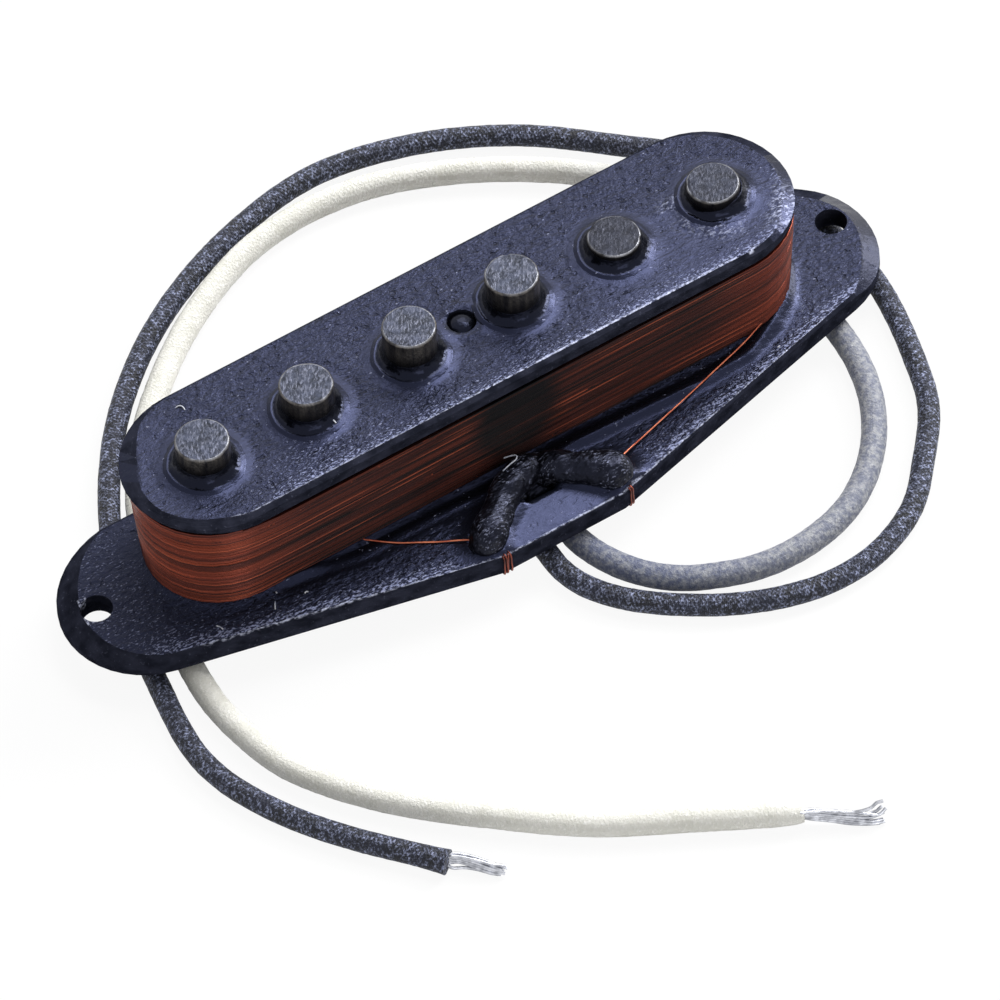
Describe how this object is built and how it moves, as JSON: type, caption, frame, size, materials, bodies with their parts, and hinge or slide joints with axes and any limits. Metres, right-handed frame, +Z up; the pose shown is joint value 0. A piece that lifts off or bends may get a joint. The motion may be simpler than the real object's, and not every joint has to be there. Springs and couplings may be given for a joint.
{
  "type": "guitar pickup",
  "caption": "Single-coil guitar pickup: staggered rod magnets and a copper coil between two black fibre plates, with cloth-covered leads.",
  "frame": {"origin": "middle of the pickup's outline at the flat feet of the magnets, which stand on z = 0; the free leads are left out", "axes": "+X along the row of magnets, +Y from the front edge with the leads to the straight back edge, +Z up through the poles"},
  "size_m": [0.0826, 0.0894, 0.0204],
  "materials": {
    "fibre": "lacquered vulcanised fibre, satin with a fine pebble",
    "magnet": "cast and ground, grey",
    "coil": "enamelled copper wire, glossy red-brown",
    "wire": "enamelled copper wire, glossy orange-red",
    "eyelet": "bare brass",
    "solder": "dull solder",
    "lacquered_cloth": "cloth under black lacquer",
    "black_cloth": "waxed black braid",
    "white_cloth": "waxed off-white braid",
    "strands": "tinned copper strands"
  },
  "bodies": {
    "root": {"bottom_flatwork": "fibre", "top_flatwork": "fibre", "pole_magnet_1": "magnet", "pole_magnet_2": "magnet", "pole_magnet_3": "magnet", "pole_magnet_4": "magnet", "pole_magnet_5": "magnet", "pole_magnet_6": "magnet", "coil_core": "coil", "coil_outer_layer": "coil", "coil_start_wire": "wire", "coil_finish_wire": "wire", "eyelet_left": "eyelet", "eyelet_right": "eyelet", "solder_joint_left": "solder", "solder_joint_right": "solder", "wire_wrap_left": "wire", "wire_wrap_right": "wire", "black_lead_tail": "strands", "white_lead_tail": "strands", "black_lead_anchor": "lacquered_cloth", "white_lead_anchor": "lacquered_cloth", "black_lead": "black_cloth", "white_lead": "white_cloth", "black_lead_strands": "strands", "white_lead_strands": "strands"}
  },
  "joints": []
}
